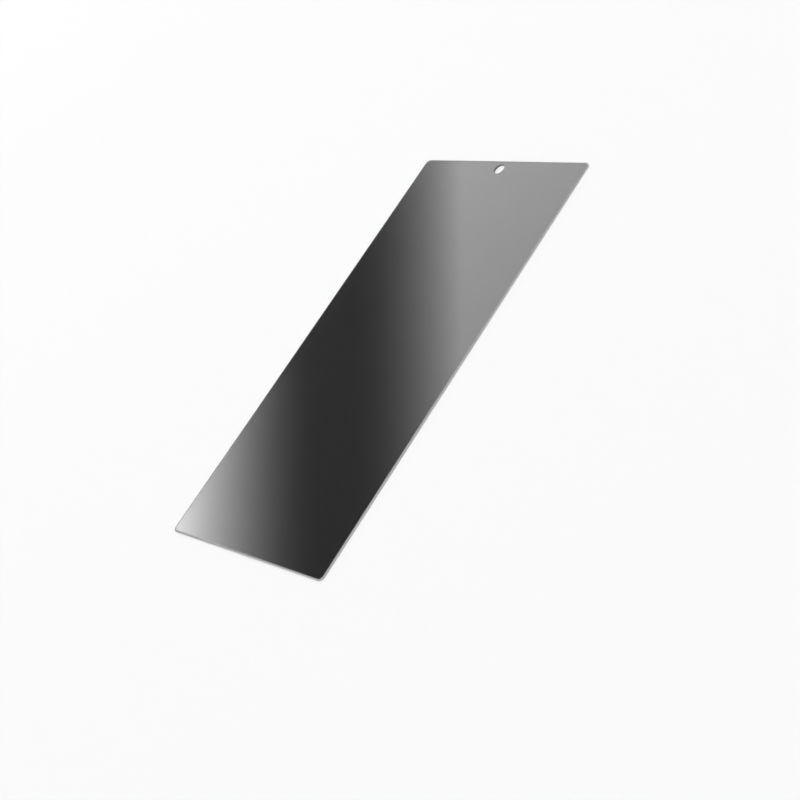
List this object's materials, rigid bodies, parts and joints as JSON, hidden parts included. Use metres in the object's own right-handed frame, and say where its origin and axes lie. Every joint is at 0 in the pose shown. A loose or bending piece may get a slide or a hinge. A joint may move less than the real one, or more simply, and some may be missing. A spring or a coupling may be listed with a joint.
{
  "type": "phone privacy screen protector",
  "caption": "Thin rectangular sheet of dark tinted glass with softly rounded edges and a camera hole, laid over a phone's screen to hide it from the side.",
  "frame": {"origin": "middle of the outline, on the underside that sticks to the screen", "axes": "+Z out of the outer face, +Y along the length towards the camera hole, +X across the width"},
  "size_m": [0.0756, 0.158, 0.0004],
  "materials": {
    "privacy_glass": "polished, dark neutral tint"
  },
  "bodies": {
    "root": {"screen_protector": "privacy_glass"}
  },
  "joints": []
}
